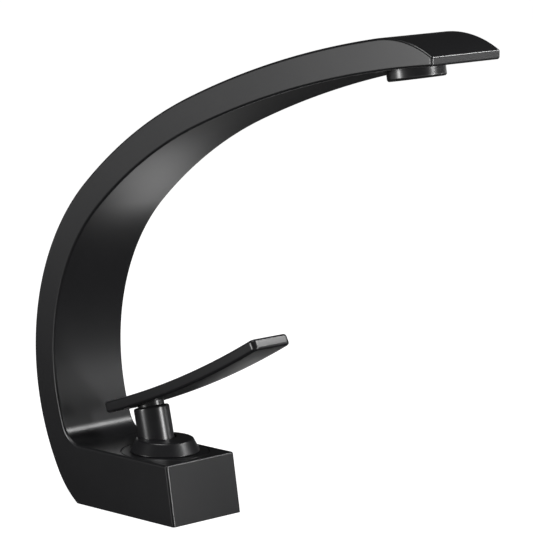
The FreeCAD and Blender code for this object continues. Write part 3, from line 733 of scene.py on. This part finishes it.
def finish_material(name, tint, roughness, metallic, grain_scale, bump, tone=0.15, turning=False):
    """Finish with drifting tone, drifting roughness and a fine bump of grain or turning marks."""
    found = bpy.data.materials.get(name)
    if found:
        return found
    material = bpy.data.materials.new(name)
    material.use_nodes = True
    nodes, links = material.node_tree.nodes, material.node_tree.links
    shader = nodes["Principled BSDF"]
    shader.inputs["Metallic"].default_value = metallic
    drift = nodes.new("ShaderNodeGroup")
    drift.node_tree = shared_group("tone drift", tone_group)
    drift.inputs["Colour"].default_value = (*tint, 1.0)
    drift.inputs["Drift"].default_value = tone
    grain = nodes.new("ShaderNodeGroup")
    grain.node_tree = shared_group("fine grain", grain_group)
    grain.inputs["Scale"].default_value = grain_scale
    grain.inputs["Roughness"].default_value = roughness
    relief = nodes.new("ShaderNodeBump")
    relief.inputs["Strength"].default_value = bump
    relief.inputs["Distance"].default_value = 0.02 * MM
    links.new(drift.outputs["Colour"], shader.inputs["Base Color"])
    links.new(grain.outputs["Roughness"], shader.inputs["Roughness"])
    if turning:
        marks = nodes.new("ShaderNodeGroup")
        marks.node_tree = shared_group("turning marks", lathe_group)
        links.new(marks.outputs["Height"], relief.inputs["Height"])
    else:
        links.new(grain.outputs["Height"], relief.inputs["Height"])
    links.new(relief.outputs["Normal"], shader.inputs["Normal"])
    return material


def black_coat(colours):
    """Satin black coat over metal, with a fine powder grain."""
    return finish_material("black coat", colours.coat, colours.coat_roughness, 0.0, 2600.0, 0.12)


def finish_list(colours):
    """Finish of each slot whose nodes are carried over."""
    return {
        "black_finish": black_coat(colours),
        "brass": finish_material("brass", colours.brass, 0.3, 1.0, 900.0, 0.3, turning=True),
        "steel": finish_material("steel", colours.steel, 0.34, 1.0, 900.0, 0.3, turning=True),
        "cartridge_plastic": finish_material(
            "pale plastic", colours.pale_plastic, 0.5, 0.0, 1500.0, 0.2, 0.06
        ),
        "aerator_plastic": finish_material("dark plastic", colours.dark_plastic, 0.45, 0.0, 1500.0, 0.2),
        "disc_ceramic": finish_material("ceramic", colours.ceramic, 0.16, 0.0, 2000.0, 0.05, 0.05),
        "rubber": finish_material("rubber", colours.rubber, 0.72, 0.0, 1200.0, 0.5, 0.3),
    }


class TAP_OT_carried_parts(bpy.types.Operator):
    """Give the inner parts and the fixings their finishes"""

    bl_idname = "tap.carried_parts"
    bl_label = "Inner parts and fixings"

    def execute(self, context):
        finishes = finish_list(context.scene.tap_colours)
        for part in frame["record"]["subparts"]:
            node = frame["nodes"][part["node"]]
            node.data.materials.clear()
            node.data.materials.append(finishes[part["material_slot"]])
        return {"FINISHED"}


class TAP_OT_spout_body(bpy.types.Operator):
    """Make the foot block with its ribbon spout"""

    bl_idname = "tap.spout_body"
    bl_label = "Spout body"

    def execute(self, context):
        scene = context.scene
        piece = new_object("spout_casting", ribbon_patches(scene.tap_spout))
        cutters = block_cutters(scene.tap_spout, scene.tap_seats)
        cutters.append(aerator_cutter(scene.tap_spout, scene.tap_aerator))
        cut_out(piece, cutters)
        settle(piece, black_coat(scene.tap_colours), "tap_body", "spout_body")
        return {"FINISHED"}


class TAP_OT_cover_ring(bpy.types.Operator):
    """Make the flat cover round the handle"""

    bl_idname = "tap.cover_ring"
    bl_label = "Cover ring"

    def execute(self, context):
        scene = context.scene
        seats = scene.tap_seats
        top = scene.tap_spout.block_height
        floor = top - seats.cover_height
        neck_top = top + seats.neck_height
        bore = seats.neck_radius - seats.neck_wall
        profile = rounded([
            (bore, floor, 0.0), (seats.cover_radius, floor, 0.0), (seats.cover_radius, top, 0.35 * MM),
            (seats.neck_radius, top, 0.3 * MM), (seats.neck_radius, neck_top, 0.2 * MM),
            (bore, neck_top, 0.2 * MM),
        ])
        piece = new_object("cover_plate", [turned(profile, 160)])
        settle(piece, black_coat(scene.tap_colours), "tap_body", "cover_ring")
        return {"FINISHED"}


class TAP_OT_handle_dome(bpy.types.Operator):
    """Make the low dome that turns with the handle"""

    bl_idname = "tap.handle_dome"
    bl_label = "Handle dome"

    def execute(self, context):
        scene = context.scene
        sizes = scene.tap_handle
        bottom = sizes.dome_bottom
        top = bottom + sizes.dome_height
        roof = top - 1.3 * MM
        guide = sizes.dome_guide_radius
        guide_top = scene.tap_spout.block_height + scene.tap_seats.neck_height + 0.2 * MM
        profile = rounded([
            (0.0, roof, 0.0), (sizes.dome_top_radius - sizes.dome_wall, roof, 0.0),
            (guide, guide_top, 0.0), (guide, bottom, 0.0), (sizes.dome_base_radius, bottom, 0.3 * MM),
            (sizes.dome_top_radius, top, sizes.dome_round), (0.0, top, 0.0),
        ])
        piece = new_object("dome_collar", [turned(profile, 128)])
        slot = sizes.stem_radius + sizes.swing_gap
        back = -sizes.dome_base_radius - 2 * MM
        half_turn = np.linspace(-math.pi / 2, math.pi / 2, 33)
        front_x = slot * np.cos(half_turn) - sizes.stem_set_back
        front = np.stack([front_x, slot * np.sin(half_turn)], axis=-1)
        plan = np.concatenate([[(back, -slot)], front, [(back, slot)]])
        levels = np.array([guide_top, top + 2 * MM])
        rows = np.broadcast_to(plan[None], (2, *plan.shape))
        height = np.broadcast_to(levels[:, None], rows.shape[:2])
        wall = np.stack([rows[..., 0], rows[..., 1], height], axis=-1)
        middle = np.stack([plan[:, 0], np.zeros(len(plan))], axis=-1)
        patches = [patch(wall, wrap_columns=True)]
        for level in levels:
            spine = np.concatenate([middle, np.full((len(plan), 1), level)], axis=1)
            edge = np.concatenate([plan, np.full((len(plan), 1), level)], axis=1)
            patches.append(patch(np.stack([edge, spine])))
        cut_out(piece, [new_object("stem_slot", patches)])
        settle(piece, black_coat(scene.tap_colours), "swivel", "handle_dome")
        return {"FINISHED"}


class TAP_OT_handle_stem(bpy.types.Operator):
    """Make the round stem of the handle"""

    bl_idname = "tap.handle_stem"
    bl_label = "Handle stem"

    def execute(self, context):
        scene = context.scene
        sizes = scene.tap_handle
        piece = new_object("stem_post", [stem_patch(sizes)])
        back = Matrix.Translation((0.0, 0.0, sizes.screw_height)) @ Matrix.Rotation(-math.pi / 2, 4, "Y")
        radius = sizes.screw_radius
        start = 2.5 * MM
        end = 30.0 * MM
        hole = np.array([(0.0, start), (radius, start), (radius, end), (0.0, end)])
        cut_out(piece, [new_object("screw_hole", [turned(hole, 48, lift_matrix(sizes) @ back)])])
        settle(piece, black_coat(scene.tap_colours), "lever", "handle_stem")
        return {"FINISHED"}


class TAP_OT_lever_paddle(bpy.types.Operator):
    """Make the long curved lever"""

    bl_idname = "tap.lever_paddle"
    bl_label = "Lever"

    def execute(self, context):
        scene = context.scene
        piece = new_object("lever_blade", lever_patches(scene.tap_handle))
        settle(piece, black_coat(scene.tap_colours), "lever", "lever_paddle")
        return {"FINISHED"}


class TAP_OT_aerator_shell(bpy.types.Operator):
    """Make the aerator's collar and spigot"""

    bl_idname = "tap.aerator_shell"
    bl_label = "Aerator shell"

    def execute(self, context):
        scene = context.scene
        sizes = scene.tap_aerator
        bottom = -sizes.flange_drop
        lip = bottom + sizes.lip
        flange_top = sizes.recess_depth - 0.1 * MM
        spigot = sizes.thread_radius - sizes.thread_gap
        spigot_top = sizes.recess_depth + sizes.spigot_length
        bore = sizes.thread_radius - sizes.wall
        profile = rounded([
            (bore - sizes.lip, lip, 0.0), (bore - sizes.lip, bottom, 0.3 * MM),
            (sizes.flange_radius, bottom, 1.2 * MM), (sizes.flange_radius, flange_top, 0.2 * MM),
            (spigot, flange_top, 0.0), (spigot, spigot_top, 0.3 * MM), (bore, spigot_top, 0.0),
            (bore, lip, 0.0),
        ])
        place = aerator_matrix(scene.tap_spout, sizes)
        piece = new_object("aerator_collar", [turned(profile, 128, place)])
        settle(piece, black_coat(scene.tap_colours), "tap_body", "aerator_shell")
        return {"FINISHED"}


def flat_sheet(name, half_x, half_y, height, count=2):
    """Level sheet on a grid, centred on the origin."""
    steps = np.linspace(-1.0, 1.0, count)
    x, y = np.meshgrid(half_x * steps, half_y * steps, indexing="ij")
    points, quads = patch(np.stack([x, y, np.full_like(x, height)], axis=-1))
    mesh = bpy.data.meshes.new(name)
    mesh.from_pydata(points.tolist(), [], quads.tolist())
    sheet = bpy.data.objects.new(name, mesh)
    bpy.context.scene.collection.objects.link(sheet)
    return sheet


def floor_material():
    """White floor: plain diffuse that takes a shadow, lifted to white for eye and reflections."""
    material = bpy.data.materials.new("white floor")
    material.use_nodes = True
    nodes, links = material.node_tree.nodes, material.node_tree.links
    nodes.clear()
    output = nodes.new("ShaderNodeOutputMaterial")
    diffuse = nodes.new("ShaderNodeBsdfDiffuse")
    diffuse.inputs["Color"].default_value = (0.35, 0.35, 0.35, 1.0)
    glow = nodes.new("ShaderNodeEmission")
    glow.inputs["Strength"].default_value = 1.0
    path = nodes.new("ShaderNodeLightPath")
    seen = nodes.new("ShaderNodeMath")
    seen.operation = "MAXIMUM"
    through = nodes.new("ShaderNodeMath")
    through.operation = "MAXIMUM"
    dark = nodes.new("ShaderNodeEmission")
    dark.inputs["Strength"].default_value = 0.0
    pick = nodes.new("ShaderNodeMixShader")
    total = nodes.new("ShaderNodeAddShader")
    links.new(path.outputs["Is Camera Ray"], seen.inputs[0])
    links.new(path.outputs["Is Glossy Ray"], seen.inputs[1])
    links.new(seen.outputs[0], through.inputs[0])
    links.new(path.outputs["Is Transmission Ray"], through.inputs[1])
    links.new(through.outputs[0], pick.inputs["Fac"])
    links.new(dark.outputs[0], pick.inputs[1])
    links.new(glow.outputs[0], pick.inputs[2])
    links.new(diffuse.outputs[0], total.inputs[0])
    links.new(pick.outputs[0], total.inputs[1])
    links.new(total.outputs[0], output.inputs["Surface"])
    return material


def painted_reflection_material(stage):
    """Painted dark reflection: sheet seen only in reflections, whose rim fades so its edge draws no
    line.
    """
    material = bpy.data.materials.new("painted dark reflection")
    material.use_nodes = True
    nodes, links = material.node_tree.nodes, material.node_tree.links
    nodes.clear()
    output = nodes.new("ShaderNodeOutputMaterial")
    # Dark colour of the painted reflection: the tap's glossy faces mirror it instead of the white floor
    diffuse = nodes.new("ShaderNodeBsdfDiffuse")
    diffuse.inputs["Color"].default_value = (0.05, 0.05, 0.05, 1.0)
    clear = nodes.new("ShaderNodeBsdfTransparent")
    place = nodes.new("ShaderNodeTexCoord")
    far = nodes.new("ShaderNodeVectorMath")
    far.operation = "DISTANCE"
    far.inputs[1].default_value = (stage.dark_reflection_x, stage.dark_reflection_y, 0.0)
    fade = nodes.new("ShaderNodeMapRange")
    fade.interpolation_type = "SMOOTHSTEP"
    fade.inputs["From Min"].default_value = stage.dark_reflection_core
    fade.inputs["From Max"].default_value = stage.dark_reflection_radius
    mix = nodes.new("ShaderNodeMixShader")
    links.new(place.outputs["Object"], far.inputs[0])
    links.new(far.outputs["Value"], fade.inputs["Value"])
    links.new(fade.outputs["Result"], mix.inputs["Fac"])
    links.new(diffuse.outputs[0], mix.inputs[1])
    links.new(clear.outputs[0], mix.inputs[2])
    links.new(mix.outputs[0], output.inputs["Surface"])
    return material


def add_softbox(name, place, target, size_x, size_y, watts):
    """Rectangular lamp that faces a point."""
    lamp = bpy.data.lights.new(name, "AREA")
    lamp.shape = "RECTANGLE"
    lamp.size = size_x
    lamp.size_y = size_y
    lamp.energy = watts
    box = bpy.data.objects.new(name, lamp)
    box.location = place
    box.visible_camera = False
    direction = Vector(target) - Vector(place)
    box.rotation_euler = direction.to_track_quat("-Z", "Y").to_euler()
    bpy.context.scene.collection.objects.link(box)
    return box


class TAP_OT_stage(bpy.types.Operator):
    """Set the camera, the floor, the sheet that paints dark reflections, and the soft light"""

    bl_idname = "tap.stage"
    bl_label = "Camera, floor and light"

    def execute(self, context):
        scene = context.scene
        stage = scene.tap_stage
        floor = flat_sheet("floor", stage.floor_half, stage.floor_half, -0.2 * MM)
        floor.data.materials.append(floor_material())
        # Dark sheet just over the floor, hidden from camera, shadows and diffuse light: a painted dark
        # reflection in the tap's glossy faces in place of the white floor
        reach = stage.dark_reflection_radius + abs(stage.dark_reflection_x) + abs(stage.dark_reflection_y)
        reflection_sheet = flat_sheet("painted_reflection_sheet", reach, reach, -0.1 * MM)
        reflection_sheet.data.materials.append(painted_reflection_material(stage))
        reflection_sheet.visible_camera = False
        reflection_sheet.visible_shadow = False
        reflection_sheet.visible_diffuse = False

        middle = (0.0, 0.0, 0.12)
        add_softbox("overhead box", (0.0, -0.35, 1.3), (0.05, 0.0, 0.12), 0.6, 0.35, 6.0)
        add_softbox("low glow", (-0.08, 0.16, 0.003), (-0.08, 0.16, 1.0), 0.06, 0.06, 0.022)
        add_softbox("back box", (0.44, 0.6, 0.11), (-0.05, 0.0, 0.06), 0.09, 0.12, 0.25)
        add_softbox("left strip", (-0.31, -0.95, 0.17), middle, 0.1, 0.32, 6.0)
        add_softbox("right strip", (0.98, 0.3, 0.18), middle, 0.1, 0.34, 7.0)
        add_softbox("tip box", (0.62, 0.63, 0.7), (0.17, 0.0, 0.23), 0.4, 0.1, 5.0)

        world = bpy.data.worlds.new("dim studio")
        world.use_nodes = True
        world.node_tree.nodes["Background"].inputs["Color"].default_value = (0.02, 0.02, 0.02, 1.0)
        scene.world = world

        camera = bpy.data.cameras.new("camera")
        camera.sensor_width = 36.0
        camera.lens = camera.sensor_width * stage.focal_pixels / 533.0
        camera.clip_end = 100.0
        eye = bpy.data.objects.new("camera", camera)
        level = math.cos(stage.elevation)
        back_x = math.sin(stage.azimuth) * level
        back_y = -math.cos(stage.azimuth) * level
        back = Vector((back_x, back_y, math.sin(stage.elevation)))
        eye.location = stage.camera_place
        eye.rotation_euler = (-back).to_track_quat("-Z", "Y").to_euler()
        scene.collection.objects.link(eye)
        scene.camera = eye
        scene.view_settings.view_transform = "Standard"
        return {"FINISHED"}


class TAP_PT_pieces(bpy.types.Panel):
    """Lists the tap's pieces in the sidebar"""

    bl_idname = "TAP_PT_pieces"
    bl_label = "Mixer tap"
    bl_space_type = "VIEW_3D"
    bl_region_type = "UI"
    bl_category = "Tap"

    def draw(self, context):
        for maker in MAKERS:
            self.layout.operator(maker.bl_idname)


GROUPS = {
    "tap_spout": SpoutSizes,
    "tap_seats": CartridgeSizes,
    "tap_handle": HandleSizes,
    "tap_aerator": AeratorSizes,
    "tap_colours": FinishColours,
    "tap_stage": StageSizes,
}
MAKERS = (
    TAP_OT_carried_parts,
    TAP_OT_spout_body,
    TAP_OT_cover_ring,
    TAP_OT_handle_dome,
    TAP_OT_handle_stem,
    TAP_OT_lever_paddle,
    TAP_OT_aerator_shell,
    TAP_OT_stage,
)


def register():
    """Register the groups, operators and panel, and hang the groups on the scene."""
    for name, group in GROUPS.items():
        bpy.utils.register_class(group)
        setattr(bpy.types.Scene, name, PointerProperty(type=group))
    for maker in MAKERS:
        bpy.utils.register_class(maker)
    bpy.utils.register_class(TAP_PT_pieces)


def unregister():
    """Take away what register added, in the opposite order."""
    bpy.utils.unregister_class(TAP_PT_pieces)
    for maker in reversed(MAKERS):
        bpy.utils.unregister_class(maker)
    for name, group in reversed(GROUPS.items()):
        delattr(bpy.types.Scene, name)
        bpy.utils.unregister_class(group)


def main():
    """Make every piece in order."""
    register()
    bpy.ops.tap.carried_parts()
    bpy.ops.tap.spout_body()
    bpy.ops.tap.cover_ring()
    bpy.ops.tap.handle_dome()
    bpy.ops.tap.handle_stem()
    bpy.ops.tap.lever_paddle()
    bpy.ops.tap.aerator_shell()
    bpy.ops.tap.stage()
    bpy.context.view_layer.update()


if __name__ == "__main__":
    main()
